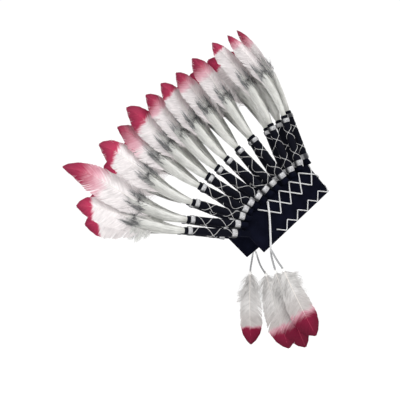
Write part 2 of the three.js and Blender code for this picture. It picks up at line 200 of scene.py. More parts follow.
# The front sleeve and one row for each pair behind it, as in the CAD model, then what the
# feather looks like: dye is where the crimson starts as a share of the feather, fade how it
# comes in, point how much the feather narrows towards its tip, and skirt its spiky down
ROW_NAMES = "along ring lean inward stub reach aim broad dye fade point skirt".split()
ROW_TABLE = [
    (0, 1.2, -20, 0, 0, 0.96, -8.5, 0.8, 0.74, "soft", 0.15, None),
    (0.132, 1.19, -21, -0.15, 0, 0.97, -6.5, 0.9, 0.82, "soft", 0.2, None),
    (0.25, 1.21, -16, -0.085, 0, 0.98, -5.5, 1, 0.85, "sharp", 0, None),
    (0.362, 1.23, -4, 0.03, 0, 0.95, -2.5, 1.08, 0.72, "soft", 0, None),
    (0.49, 1.24, 2, 0.1, 0, 0.93, 0, 1.02, 0.76, "soft", 0, None),
    (0.588, 1.24, 9, 0.13, 0, 0.94, 2.5, 1.05, 0.79, "sharp", 0, None),
    (0.69, 1.23, 13.5, 0.15, 0, 0.95, 6, 1.05, 0.74, "soft", 0, None),
    (0.795, 1.23, 17, 0.16, 0, 0.98, 12, 1.1, 0.7, "sharp", 0, None),
    (0.878, 1.2, 22, 0.15, 0, 0.93, 17.5, 1.08, 0.66, "dusty", 0.25, None),
    (0.966, 1.13, 35, 0.1, 1, 0.99, 22, 1.12, 0.76, "sharp", 0, None),
    (1.052, 1.06, 47, 0.05, 1, 1.19, 31, 1.12, 0.66, "soft", 0.3, None),
    (1.135, 0.94, 50, 0, 1.5, 0.99, 41, 0.95, 0.81, "sharp", 0, PLUME_SKIRT),
]
ROWS = [dict(zip(ROW_NAMES, row)) for row in ROW_TABLE]

# Turning points of the two crossing cords: (half pitches along, 1 for the high line)
LATTICE_A = [(0, 1), (1.05, 0), (2.15, 1), (3, 0), (4.05, 1)]
LATTICE_B = [(0, 0), (1.25, 1), (2, 0), (3.1, 1), (3.95, 0), (5, 1)]

# Outline of a fluffy bundle: shares of its length, its half width and its half depth
FLUFF_AT = [0, 0.14, 0.45, 0.82, 1, 1.15]
FLUFF_WIDE = [0.29, 0.46, 0.7, 0.95, 1, 1]
FLUFF_DEEP = [0.87, 0.85, 0.95, 0.9, 0.5, 0.3]

# Outlines of a feather: shares of its length, and of its half width before and behind the shaft
VANE_AT = [0, 0.15, 0.32, 0.52, 0.72, 0.86, 0.95, 1]
PLUME_VANE = (
    [0.08, 0.5, 0.82, 0.92, 0.92, 0.7, 0.36, 0.05],
    [0.08, 0.6, 1, 1.1, 1.08, 0.84, 0.46, 0.05],
)
DROP_VANE = (
    [0.08, 0.38, 0.7, 0.88, 0.92, 0.7, 0.36, 0.05],
    [0.08, 0.46, 0.85, 1.06, 1.08, 0.84, 0.46, 0.05],
)

# Routes of the hanging cords, as in the CAD model
RIGHT_LONG_ROUTE = [
    (-44.6, 60.6, 31.6), (-45.6, 60.5, 27), (-47.5, 60.2, 20), (-49.4, 59.8, 13),
    (-50.6, 59.5, 5), (-51.6, 59.3, -4), (-52.7, 59.3, -13), (-54.2, 59.5, -22),
    (-56, 59.8, -31), (-57.6, 60, -40), (-59, 60.4, -49), (-59.8, 60.6, -57), (-60, 60.2, -65),
    (-60, 58.8, -73), (-60, 56.4, -82), (-60, 54.2, -89.5), (-60, 53.4, -93.5),
]
RIGHT_SHORT_ROUTE = [
    (-63.6, 60.8, -57.3), (-64.1, 59.9, -60), (-65, 58, -64), (-65.6, 55.2, -69.5),
    (-66.2, 51.8, -75.5), (-66.6, 48, -81.5), (-66.9, 44, -87), (-67, 41.8, -90.6),
]
LEFT_LONG_ROUTE = [
    (44.6, 60.6, 31.6), (45.6, 60.5, 27), (47.5, 60.2, 20), (49.4, 59.8, 13), (50.6, 59.5, 5),
    (51.6, 59.3, -4), (52.7, 59.3, -13), (54.2, 59.4, -22), (56, 59.4, -31), (57.6, 59.5, -40),
    (59, 60, -49), (59.8, 61, -57), (60, 62.4, -65), (60, 64, -74), (60, 65.4, -82), (60, 66, -88),
]
LEFT_SHORT_ROUTE = [
    (61.7, 57.6, -45.9), (63.3, 55.2, -48.8), (64, 52.9, -53.2), (64.6, 50.6, -59.5),
    (64.9, 48.4, -66.5), (65, 45.6, -74), (65, 41.6, -82), (65, 37.2, -88.6), (65, 35.4, -91.4),
]

# The hanging feathers: the cord, how far the tip is from its end, and the looks as in ROWS
DROP_NAMES = "name route back down flare broad dye fade skirt".split()
DROPS = [
    dict(zip(DROP_NAMES, drop))
    for drop in (
        ("right_long", RIGHT_LONG_ROUTE, -54, 134, 0, 1.15, 0.66, "mid", None),
        ("right_short", RIGHT_SHORT_ROUTE, -57, 117, -6, 1.1, 0.65, "mid", FRONT_SKIRT),
        ("left_long", LEFT_LONG_ROUTE, 0, 138, 0, 1, 0.76, "sharp", REAR_SKIRT),
        ("left_short", LEFT_SHORT_ROUTE, -48, 143, 6, 1.35, 0.72, "mid", None),
    )
]

UP = np.array([0.0, 0.0, 1.0])
SPLAY = math.radians(SIDE_SPLAY)
FOLD_TURN = math.pi / 2 - SPLAY
FOLD_ARC = FOLD_RADIUS * FOLD_TURN
BAND_DEPTH = FOLD_RADIUS * (1 - math.cos(FOLD_TURN)) + (BAND_SIDE - FOLD_ARC) * math.cos(SPLAY)


def unit(vectors):
    """The same vectors with a length of 1."""
    return vectors / np.linalg.norm(vectors, axis=-1, keepdims=True)


def paired(first, second):
    """Two arrays, one spread over the other, as one array of pairs."""
    return np.stack(np.broadcast_arrays(first, second), axis=-1)


def ramp(steps):
    """Shares from 0 to 1, one for each step along a hair."""
    return np.linspace(0, 1, steps)[None, :]


def tilted(points):
    """Points of the band's own frame, in the frame of the whole headdress."""
    turn = math.radians(BAND_TILT)
    x, y, z = np.moveaxis(np.asarray(points, float), -1, 0)
    return np.stack(
        [x, y * math.cos(turn) + z * math.sin(turn), z * math.cos(turn) - y * math.sin(turn)],
        axis=-1,
    )


class Surfaces:
    """Collects surfaces of one piece, each with its material slot, and makes one mesh of them."""

    def __init__(self):
        self.points, self.faces, self.uvs, self.barbs, self.slots = [], [], [], [], []
        self.count = 0

    def add(self, points, faces, uvs, slot=0, barbs=None):
        points = points.reshape(-1, 3)
        uvs = uvs.reshape(-1, 2)
        self.points.append(points)
        self.faces.append(faces + self.count)
        self.uvs.append(uvs)
        self.barbs.append(uvs if barbs is None else barbs.reshape(-1, 2))
        self.slots.append(np.full(len(faces), slot))
        self.count += len(points)

    def make(self, name, materials, in_band=True):
        points = np.concatenate(self.points)
        if in_band:
            points = tilted(points)
        mesh = bpy.data.meshes.new(name)
        faces = [face for part in self.faces for face in part.tolist()]
        mesh.from_pydata((points * MM).tolist(), [], faces)
        corners = np.zeros(len(mesh.loops), np.int32)
        mesh.loops.foreach_get("vertex_index", corners)
        for layer, values in (("UVMap", self.uvs), ("barbs", self.barbs)):
            layer_uvs = np.concatenate(values)[corners]
            mesh.uv_layers.new(name=layer).data.foreach_set("uv", layer_uvs.ravel())
        mesh.polygons.foreach_set("material_index", np.concatenate(self.slots).astype(np.int32))
        mesh.polygons.foreach_set("use_smooth", np.ones(len(mesh.polygons), bool))
        for material in materials:
            mesh.materials.append(material)
        piece = bpy.data.objects.new(name, mesh)
        bpy.context.scene.collection.objects.link(piece)
        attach(piece, "root")
        return piece


def grid_faces(rows, columns, closed=False):
    """Four-sided faces between neighbours of a grid of points."""
    across = columns if closed else columns - 1
    row, column = np.meshgrid(np.arange(rows - 1), np.arange(across), indexing="ij")
    after = (column + 1) % columns
    here, below = row * columns, (row + 1) * columns
    corners = [here + column, here + after, below + after, below + column]
    return np.stack(corners, axis=-1).reshape(-1, 4)


def add_grid(surfaces, points, slot=0, uvs=None, barbs=None):
    """One skin through rings of points; its map runs round them and along."""
    rows, columns = points.shape[:2]
    if uvs is None:
        uvs = paired(np.linspace(0, 1, columns)[None, :], np.linspace(0, 1, rows)[:, None])
    surfaces.add(points, grid_faces(rows, columns, closed=True), uvs, slot, barbs)


def capped(rings, first, last):
    """Rings of points with a first and a last one drawn together into a point."""
    ends = [np.repeat(centre[None, None], rings.shape[1], 1) for centre in (first, last)]
    return np.concatenate([ends[0], rings, ends[1]])


def square_to(centres, normals):
    """Two directions square to a line of centres, the second one near the normals."""
    along = unit(np.gradient(centres, axis=0))
    side = unit(np.cross(along, normals))
    return side, np.cross(side, along)


def add_tube(surfaces, centres, normals, radius, sides=6, slot=0, along_uv=None):
    """A round tube along a line of centres; normals point roughly across the line."""
    side, normal = square_to(centres, normals)
    angle = np.linspace(0, 2 * math.pi, sides, endpoint=False)[None, :, None]
    around = normal[:, None] * np.cos(angle) + side[:, None] * np.sin(angle)
    radius = np.broadcast_to(radius, len(centres))[:, None, None]
    rings = capped(centres[:, None] + around * radius, centres[0], centres[-1])
    uvs = None
    if along_uv is not None:
        down = np.concatenate([along_uv[:1], along_uv, along_uv[-1:]])
        uvs = paired(np.linspace(0, 1, sides)[None, :], down[:, None])
    add_grid(surfaces, rings, slot, uvs)


def add_ribbons(surfaces, lines, normals, half_widths, uvs, slot=0, barbs=None):
    """Many thin ribbons at once: lines of centres (ribbon, step), each with its own normals."""
    count, steps = lines.shape[:2]
    along = np.gradient(lines, axis=1)
    side = np.cross(along, normals)
    side /= np.maximum(np.linalg.norm(side, axis=-1, keepdims=True), 1e-9)
    reach = side * half_widths[..., None]
    points = np.stack([lines - reach, lines + reach], axis=2)
    one = grid_faces(steps, 2)
    faces = (one[None] + (np.arange(count) * steps * 2)[:, None, None]).reshape(-1, 4)
    both = np.stack([uvs, uvs], axis=2)
    shades = None if barbs is None else np.stack([barbs, barbs], axis=2)
    surfaces.add(points, faces, both, slot, shades)


def distances(points):
    """How far along their line the points are."""
    return np.concatenate([[0], np.cumsum(np.linalg.norm(np.diff(points, axis=0), axis=1))])


def length_of(points):
    return float(distances(points)[-1])


def evenly(points, step):
    """The same line with its points a step apart."""
    far = distances(points)
    count = max(int(round(far[-1] / step)), 2)
    at = np.linspace(0, far[-1], count + 1)
    return np.stack([np.interp(at, far, points[:, k]) for k in range(3)], axis=1)


def smooth_line(route, step):
    """Points a step apart on a smooth curve through a route."""
    route = np.array(route, float)
    padded = np.concatenate([2 * route[:1] - route[1:2], route, 2 * route[-1:] - route[-2:-1]])
    t = np.linspace(0, 1, 12, endpoint=False)[:, None]
    pieces = [
        0.5 * (2 * b + (c - a) * t + (2 * a - 5 * b + 4 * c - d) * t**2
               + (3 * b - a - 3 * c + d) * t**3)
        for a, b, c, d in zip(padded, padded[1:], padded[2:], padded[3:])
    ]
    return evenly(np.concatenate(pieces + [route[-1:]]), step)


def bezier(pulls, count):
    """Points on the Bezier curve that a list of points pulls into shape."""
    t = np.linspace(0, 1, count)[:, None]
    while len(pulls) > 1:
        pulls = [(1 - t) * before + t * after for before, after in zip(pulls, pulls[1:])]
    return pulls[0]


class Track:
    """A centre line with the directions of a plume's or feather's width and depth along it."""

    STEPS = 120

    def __init__(self, points, width_at):
        self.length = length_of(points)
        self.at = evenly(points, self.length / self.STEPS)
        self.along = unit(np.gradient(self.at, axis=0))
        self.wide, self.deep = width_at(self.along)
        self.shares = np.linspace(0, 1, len(self.at))

    def look_up(self, values, share):
        return np.stack([np.interp(share, self.shares, values[:, k]) for k in range(3)], axis=-1)

    def place(self, share, across, depth):
        """Points at shares of the length, so far across and so deep; past an end it runs on."""
        share, across, depth = np.broadcast_arrays(share, across, depth)
        past = share - np.clip(share, 0, 1)
        return (
            self.look_up(self.at, share)
            + self.look_up(self.along, share) * (past * self.length)[..., None]
            + self.look_up(self.wide, share) * across[..., None]
            + self.look_up(self.deep, share) * depth[..., None]
        )


def turned(vectors, axes, degrees):
    """Vectors turned about axes that they are square to."""
    turn = math.radians(degrees)
    return vectors * math.cos(turn) + np.cross(axes, vectors) * math.sin(turn)


def band_place(along, out=0.0):
    """The band's outer face at a distance along it from the front; negative is the right side."""
    side = -1 if along < 0 else 1
    length = abs(along)
    turn = min(length, FOLD_ARC) / FOLD_RADIUS
    straight = max(length - FOLD_ARC, 0)
    rear = np.array([side * math.sin(SPLAY), math.cos(SPLAY), 0])
    outward = np.array([side * math.sin(turn), -math.cos(turn), 0])
    centre = np.array([0, FOLD_RADIUS - BAND_DEPTH / 2, 0])
    return centre + outward * (FOLD_RADIUS + out) + rear * straight, outward, rear


def left_row(row):
    """A row as it stands on the left side, where it is closer to the front, more upright,
    shorter and swept further back, and has its own dye."""
    far = min(row["along"], LEFT_FAR)
    ring_on_face = row["ring"] * BAND_HEIGHT - RING_RADIUS < BAND_HEIGHT
    return dict(
        row,
        along=row["along"] - LEFT_FORWARD * far,
        lean=row["lean"] - LEFT_UPRIGHT * far,
        reach=min(row["reach"], 1) * LEFT_REACH,
        aim=row["aim"] + LEFT_SWEEP,
        dye=LEFT_DYE,
        fade="sharp",
        face_out=(RING_RADIUS if ring_on_face else STUB_RADIUS) + GAP,
    )


def sleeve_pose(row, side):
    """Where a row's sleeve stands on one side, which way it points and how long its stub is."""
    place = side * row["along"] * BAND_SIDE
    _, outward, rear = band_place(place)
    if row["along"] == 0:
        rear = np.array([0.0, 1.0, 0.0])
    lean = math.radians(row["lean"])
    direction = unit(UP * math.cos(lean) + rear * math.sin(lean) - outward * row["inward"])
    height = row["ring"] * BAND_HEIGHT
    on_edge = row["stub"] == 0
    out = EDGE_SEAT_OUT if on_edge else row.get("face_out", STUB_RADIUS + GAP)
    drift = direction @ outward / direction[2]
    base = band_place(place, out)[0] + UP * height + outward * drift * (height - BAND_HEIGHT)
    slant = abs(direction @ np.cross(UP, outward))
    dips = [
        slant * math.sqrt(max(STUB_RADIUS**2 - inside**2, 0)) / direction[2] - inside * drift
        for inside in (EDGE_SEAT_OUT, EDGE_SEAT_OUT + BAND_WALL)
    ]
    edge_stub = (height - BAND_HEIGHT - GAP - max(dips)) / direction[2]
    stub = edge_stub if on_edge else row["stub"] * FACE_STUB
    return dict(
        base=base, direction=direction, rear=rear, outward=outward, stub=stub, on_edge=on_edge
    )


def plume_track(row, pose):
    """The plume's centre line from the sleeve's cap to the feather's tip."""
    base, direction, rear = pose["base"], pose["direction"], pose["rear"]
    root = base + direction * (SLEEVE_SPAN + UPPER_RING / 2 + CAP_LENGTH + GAP)
    reach = row["reach"] * PLUME_REACH

    def heading(degrees):
        return UP * math.cos(math.radians(degrees)) + rear * math.sin(math.radians(degrees))

    tip = base + direction * SLEEVE_SPAN + heading(row["aim"]) * reach
    first = root + direction * START_PULL * reach
    second = tip - heading(row["aim"] + TIP_CURL) * END_PULL * reach
    front = row["along"] == 0
    across = np.array([1.0, 0.0, 0.0]) if front else rear
    shingle = 0 if front else SHINGLE

    def width_at(along):
        flat = unit(across - (along @ across)[:, None] * along)
        wide = turned(flat, along, shingle)
        if wide[len(wide) // 2] @ pose["outward"] < 0:
            wide = turned(flat, along, -shingle)
        deep = unit(np.cross(along, wide))
        if deep[len(deep) // 2] @ pose["outward"] < 0:
            deep = -deep
        return wide, deep

    return Track(bezier([root, first, second, tip], 201), width_at)


def wavy(rng, values, waves, size):
    """A smooth random curve over values from 0 to 1."""
    total = np.zeros_like(values, dtype=float)
    for k in range(1, waves + 1):
        total += rng.normal() * np.sin(2 * math.pi * (k * 0.7 * values + rng.random())) / k
    return size * total


# Materials


class Look:
    """A material and the nodes that colour its shader."""

    # Sockets of a mix of colours: its share and its two colours, then its result
    MIX_INPUTS = (0, 6, 7)
    MIX_RESULT = 2

    def __init__(self, name):
        self.material = bpy.data.materials.new(name)
        self.material.use_nodes = True
        self.tree = self.material.node_tree
        self.shader = self.tree.nodes["Principled BSDF"]

    def feed(self, socket, value):
        """Sets a socket to a number or a colour, or links another node's output to it."""
        if isinstance(value, (int, float)):
            socket.default_value = value
        elif isinstance(value, tuple):
            socket.default_value = (*value, 1)
        else:
            self.tree.links.new(value, socket)

    def node(self, kind, **values):
        made = self.tree.nodes.new("ShaderNode" + kind)
        for name, value in values.items():
            self.feed(made.inputs[name], value)
        return made

    def calc(self, operation, *values):
        made = self.node("Math")
        made.operation = operation
        for socket, value in zip(made.inputs, values):
            self.feed(socket, value)
        return made.outputs[0]

    def scaled(self, value, factor, added=0):
        """A value times a factor, plus a number or another value."""
        return self.calc("MULTIPLY_ADD", value, factor, added)

    def mix(self, share, first, second):
        """The first colour where the share is 0, the second one where it is 1."""
        made = self.node("Mix")
        made.data_type = "RGBA"
        for index, value in zip(self.MIX_INPUTS, (share, first, second)):
            self.feed(made.inputs[index], value)
        return made.outputs[self.MIX_RESULT]

    def step_up(self, value, low, high):
        """0 below low, 1 above high, and smooth between them."""
        made = self.node("MapRange", Value=value)
        made.interpolation_type = "SMOOTHSTEP"
        self.feed(made.inputs["From Min"], low)
        self.feed(made.inputs["From Max"], high)
        return made.outputs[0]

    def noise(self, coordinates, scale, detail, stretch=(1, 1, 1)):
        """Noise in 0 to 1 at a scale over coordinates, drawn out along an axis by stretch."""
        mapping = self.node("Mapping", Vector=coordinates)
        mapping.inputs["Scale"].default_value = stretch
        made = self.node("TexNoise", Vector=mapping.outputs[0], Scale=scale, Detail=detail)
        return made.outputs["Fac"]

    def uv(self, layer="UVMap"):
        made = self.node("UVMap")
        made.uv_map = layer
        return made.outputs[0]

    def place(self):
        return self.node("TexCoord").outputs["Object"]

    def split(self, vector):
        """The three parts of a vector."""
        made = self.node("SeparateXYZ")
        self.feed(made.inputs[0], vector)
        return made.outputs

    def bump(self, height, strength, distance):
        """Relief from a pattern, so many metres deep."""
        made = self.node("Bump", Height=height, Strength=strength, Distance=distance)
        self.feed(self.shader.inputs["Normal"], made.outputs[0])

    def dress(self, colour, surface):
        """Gives the shader its colour and its uniform values."""
        self.feed(self.shader.inputs["Base Color"], colour)
        for name, value in surface.items():
            self.shader.inputs[name].default_value = value
        return self.material


def felt_material():
    look = Look("felt")
    blotches = look.noise(look.place(), 45, 3)
    fibres = look.noise(look.place(), 900, 3)
    shade = look.scaled(fibres, 0.5, look.scaled(blotches, 0.6))
    look.bump(fibres, 0.5, 0.0006)
    colour = look.mix(look.step_up(shade, 0.35, 0.8), *FELT)
    return look.dress(colour, {"Roughness": 0.96, "Specular IOR Level": 0.04})


def cord_material(name, silver, surface, painted_shade=None):
    """Fine threads laid round a strand, with painted shade that greys a cord where it hangs free
    below the band.
    """
    look = Look(name)
    threads = look.noise(look.uv(), 6, 3, (4, 90, 1))
    share = look.step_up(threads, 0.3, 0.7)
    colour = look.mix(share, *silver)
    if painted_shade:
        # Painted shade: the cord greys from a little below the band downwards
        height = look.split(look.place())[2]
        below = look.step_up(look.scaled(height, -1), *PAINTED_SHADE_DEPTHS)
        colour = look.mix(below, colour, look.mix(share, *painted_shade))
    look.bump(threads, 0.4, 0.0004)
    return look.dress(colour, surface)


def sleeve_material():
    look = Look("sleeve_cloth")
    weave = look.noise(look.uv(), 10, 2, (2, 34, 1))
    lint = look.noise(look.place(), 700, 3)
    colour = look.mix(look.step_up(weave, 0.35, 0.75), *CLOTH)
    colour = look.mix(look.step_up(lint, 0.68, 0.85), colour, LINT)
    look.bump(weave, 0.6, 0.0008)
    return look.dress(colour, {"Roughness": 0.8, "Specular IOR Level": 0.06})


def ring_material():
    """Silver thread laid round a ring, with painted shade towards the ring's sides, where
    neighbouring sleeves stand close.
    """
    look = Look("ring_thread")
    lines = look.noise(look.uv(), 5, 2, (26, 1.2, 1))
    outward_facing_for_shade = look.split(look.uv("barbs"))[0]
    colour = look.mix(look.step_up(lines, 0.3, 0.7), *RING_SILVER)
    # Painted shade: darker where the ring turns away from the band's outward side
    colour = look.mix(look.step_up(outward_facing_for_shade, 0.3, 0.85), RING_PAINTED_SHADE, colour)
    look.bump(lines, 0.5, 0.0005)
    return look.dress(colour, {"Metallic": 0.45, "Roughness": 0.4})


def fluff_material():
    """Silky down, with painted shade that greys the bundle's wide edges. The map's first value runs
    round the bundle and its second one along it.
    """
    look = Look("fluff")
    around, along, _ = look.split(look.uv())
    streaks = look.noise(look.uv(), 9, 4, (12, 0.6, 1))
    # 1 at the bundle's wide edges: painted shade greys the down there, and the smoky down leans a
    # little towards them
    sides = look.calc("COSINE", look.scaled(around, 4 * math.pi))
    colour = look.mix(look.step_up(look.scaled(sides, 0.1, streaks), 0.35, 0.8), *DOWN)
    colour = look.mix(look.step_up(along, 0, 0.2), DOWN_ROOT, colour)
    patches = look.noise(look.place(), 70, 3)
    smoke = look.scaled(patches, 0.8, look.scaled(sides, 0.16, along))
    colour = look.mix(look.step_up(smoke, 1.3, 1.62), colour, SMOKE)
    look.bump(streaks, 0.35, 0.001)
    return look.dress(colour, {"Roughness": 0.55, "Sheen Weight": 0.08})


def wisp_material():
    """Smoky dark down and thin black hairs where the feather leaves the fluff."""
    look = Look("dark_wisps")
    mixed = look.noise(look.uv(), 14, 2, (6, 1, 1))
    colour = look.mix(look.step_up(mixed, 0.3, 0.75), *WISPS)
    return look.dress(colour, {"Roughness": 0.6})


def vane_material(name, fade, reds, whites, painted_shade_amount):
    """White barbs with a crimson dip. The first map holds how far across the feather a point
    is, and how far into the dyed part; the second one differs from barb to barb."""
    look = Look(name)
    across, dip, _ = look.split(look.uv())
    barb = look.split(look.uv("barbs"))[0]
    streaks = look.noise(look.uv("barbs"), 40, 2, (1, 0.05, 1))
    blotches = look.noise(look.place(), 60, 2)
    grey = look.scaled(streaks, 0.8, look.scaled(blotches, 0.35))
    white = look.mix(look.step_up(grey, 0.3, 0.9), *whites)
    # Painted shade: the white greys more and more towards where the dye starts
    white = look.mix(look.scaled(look.step_up(dip, -1.3, -0.2), painted_shade_amount), white, PAINTED_SHADE_GREY)
    edge = look.calc("ABSOLUTE", look.scaled(across, 2, -1))
    depth = look.scaled(edge, 0.5, look.scaled(streaks, 0.7, dip))
    red = look.mix(look.step_up(depth, 0.4, 1.7), *reds)
    wander = look.scaled(barb, 0.14, look.scaled(dip, 1, -0.07))
    line = look.scaled(blotches, 0.25, wander)
    pink = look.mix(0.5, white, PINK)
    colour = look.mix(look.step_up(line, DYE_LINE - 0.01 - fade * 0.6, DYE_LINE), white, pink)
    start = look.step_up(line, DYE_LINE - fade * 0.25, DYE_LINE + fade)
    look.bump(streaks, 0.3, 0.0008)
    surface = {"Roughness": 0.6, "Specular IOR Level": 0.15}
    return look.dress(look.mix(start, colour, red), surface)


def shaft_material():
    """Ivory quill that takes up the dye. The map's second value is 0 to 1 in the dyed part."""
    look = Look("shaft")
    dip = look.split(look.uv())[1]
    grain = look.noise(look.uv(), 8, 2, (1, 14, 1))
    colour = look.mix(look.step_up(dip, -0.1, 0.25), look.mix(grain, *QUILL), QUILL_RED)
    look.bump(grain, 0.2, 0.0003)
    return look.dress(colour, {"Roughness": 0.35})


def glue_material():
    look = Look("glue")
    clouds = look.noise(look.place(), 350, 3)
    look.bump(clouds, 0.5, 0.001)
    return look.dress(look.mix(clouds, *GLUE), {"Roughness": 0.45})


def make_looks():
    """Every material under the name that the pieces ask for."""
    looks = dict(
        felt=felt_material(),
        cord=cord_material("silver_cord", CORD_SILVER, SHINY),
        thread=cord_material("silver_thread", THREAD_SILVER, SHINY),
        drop_cord=cord_material("drop_cord", CORD_SILVER, MATT, SILVER_IN_PAINTED_SHADE),
        sleeve=sleeve_material(),
        ring=ring_material(),
        fluff=fluff_material(),
        wisps=wisp_material(),
        shaft=shaft_material(),
        glue=glue_material(),
    )
    for name, look in FEATHER_LOOKS.items():
        looks[name] = vane_material(name, *look)
    return looks


# Pieces


def felt_profile():
    """The felt's cross-section as (out, height): up its outer face, down its inner one."""
    heights = np.linspace(0, BAND_HEIGHT, 19)[1:-1]
    rim = np.linspace(0, math.pi, 7)
    half = BAND_WALL / 2
    top = BAND_HEIGHT - FELT_EDGE
    profile = [(0, height) for height in heights]
    profile += [(half * (math.cos(turn) - 1), top + FELT_EDGE * math.sin(turn)) for turn in rim]
    profile += [(-BAND_WALL, height) for height in heights[::-1]]
    profile += [(-half * (1 + math.cos(turn)), FELT_EDGE * (1 - math.sin(turn))) for turn in rim]
    return profile


def build_band(felt):
    """The folded felt strip, with soft edges and a little unevenness."""
    rng = np.random.default_rng(SEED)
    half = np.concatenate([np.linspace(0, FOLD_ARC, 14), np.linspace(FOLD_ARC, BAND_SIDE, 46)[1:]])
    stations = np.concatenate([-half[:0:-1], half])
    waves = wavy(rng, np.linspace(0, 1, len(stations)), 5, 0.35)
    lean = math.tan(math.radians(BACK_EDGE_LEAN))
    rings = []
    for station, wave in zip(stations, waves):
        share = max(abs(station) / BAND_SIDE - 0.75, 0) / 0.25
        ring = []
        for out, height in felt_profile():
            along = station + math.copysign(lean * height * share, station)
            bulge = wave * math.sin(math.pi * height / BAND_HEIGHT)
            ring.append(band_place(along, out + bulge)[0] + UP * height)
        rings.append(ring)
    rings = np.array(rings)
    surfaces = Surfaces()
    add_grid(surfaces, capped(rings, rings[0].mean(axis=0), rings[-1].mean(axis=0)))
    band = surfaces.make("band_felt", [felt])
    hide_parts("band")


def face_line(turns, out):
    """The centre line of a cord on the band's outer face, its corners a little rounded."""
    points, normals = [], []
    for (a_along, a_height), (b_along, b_height) in zip(turns, turns[1:]):
        steps = max(int(math.hypot(b_along - a_along, b_height - a_height) / 0.8), 2)
        for k in range(steps):
            share = k / steps
            point, outward, _ = band_place(a_along + (b_along - a_along) * share, out)
            points.append(point + UP * (a_height + (b_height - a_height) * share))
            normals.append(outward)
    points, normals = np.array(points), np.array(normals)
    for _ in range(3):
        points[1:-1] = (points[:-2] + 2 * points[1:-1] + points[2:]) / 4
    return points, normals


def mirrored(turns):
    return [(-along, height) for along, height in turns[:0:-1]] + turns


def add_twist(surfaces, centres, normals, radius, lay):
    """Two strands twisted round a centre line, one turn in each lay."""
    side, normal = square_to(centres, normals)
    far = distances(centres)
    for start in (0, math.pi):
        angle = (far / lay * 2 * math.pi + start)[:, None]
        spoke = normal * np.cos(angle) + side * np.sin(angle)
        add_tube(surfaces, centres + spoke * radius * 0.5, spoke, radius * 0.58)


def build_trim(name, lines, radius, lay, cord):
    """A trim of twisted cord along lines of (turning points, distance out) on the band."""
    surfaces = Surfaces()
    for turns, out in lines:
        centres, normals = face_line(mirrored(turns), out)
        add_twist(surfaces, centres, normals, radius * 1.3, lay)
    piece = surfaces.make(name + "_twist", [cord])
    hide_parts(name)


def build_trims(cord):
    """The diamond lattice and the zigzag near the lower edge."""
    lattice = []
    for number, turns in enumerate((LATTICE_A, LATTICE_B)):
        placed = [
            (half * LATTICE_HALF, LATTICE_HIGH if high else LATTICE_LOW) for half, high in turns
        ]
        lattice.append((placed, GAP + LATTICE_RADIUS + number * LATTICE_STEP_OUT))
    edge = [
        (EDGE_ZIG_PITCH * i / 2, EDGE_CORD_LIFT if i % 2 else EDGE_ZIG_HEIGHT)
        for i in range(2 * EDGE_ZIG_COUNT + 1)
    ]
    build_trim("diamond_cord", lattice, LATTICE_RADIUS, 5, cord)
    build_trim("edge_cord", [(edge, GAP + EDGE_CORD_RADIUS)], EDGE_CORD_RADIUS, 4.4, cord)


def spokes_round(direction, angle):
    """Unit vectors square to a direction, at angles round it."""
    first = unit(np.cross(direction, np.array([0.3, 0.2, 1.0])))
    second = np.cross(direction, first)
    return first * np.cos(angle)[:, None] + second * np.sin(angle)[:, None]


def add_lathe(surfaces, pose, rows, columns, slot, shape=None):
    """A round form about a sleeve's axis: rows of (distance along it, radius)."""
    direction, outward = pose["direction"], pose["outward"]
    angle = np.linspace(0, 2 * math.pi, columns, endpoint=False)
    far, radius = np.array(rows, float).T[:, :, None]
    radius = radius * np.ones(columns)
    if shape is not None:
        radius = radius + shape(far, angle[None, :])
    spokes = spokes_round(direction, angle)
    points = pose["base"] + direction * far[..., None] + spokes * radius[..., None]
    # How squarely each point faces outward from the band; the ring's look paints shade where it faces
    # away
    outward_facing_for_shade = np.abs(spokes @ unit(outward - direction * (outward @ direction)))
    add_grid(surfaces, points, slot, barbs=paired(outward_facing_for_shade, radius))


def add_helix(surfaces, pose, low, high, turn, start, rng):
    """A silver thread wound round the sleeve."""
    direction = pose["direction"]
    far = np.linspace(low, high, 84)
    share = (far - low) / (high - low)
    angle = start + turn * far / THREAD_PITCH * 2 * math.pi + wavy(rng, share, 3, 0.07)
    spokes = spokes_round(direction, angle)
    points = pose["base"] + direction * far[:, None] + spokes * (SLEEVE_RADIUS + THREAD_RADIUS * 0.75)
    add_tube(surfaces, points, spokes, THREAD_RADIUS, 5, THREAD)


def ring_rows(low, high):
    """A ring's outline between two distances along the sleeve, its edges rounded."""
    edge = [(0, STUB_RADIUS * 0.9), (0, RING_RADIUS - 0.7), (0.6, RING_RADIUS - 0.15)]
    rows = [(low + inside, radius) for inside, radius in edge]
    rows.append(((low + high) / 2, RING_RADIUS))
    return rows + [(high - inside, radius) for inside, radius in edge[::-1]]


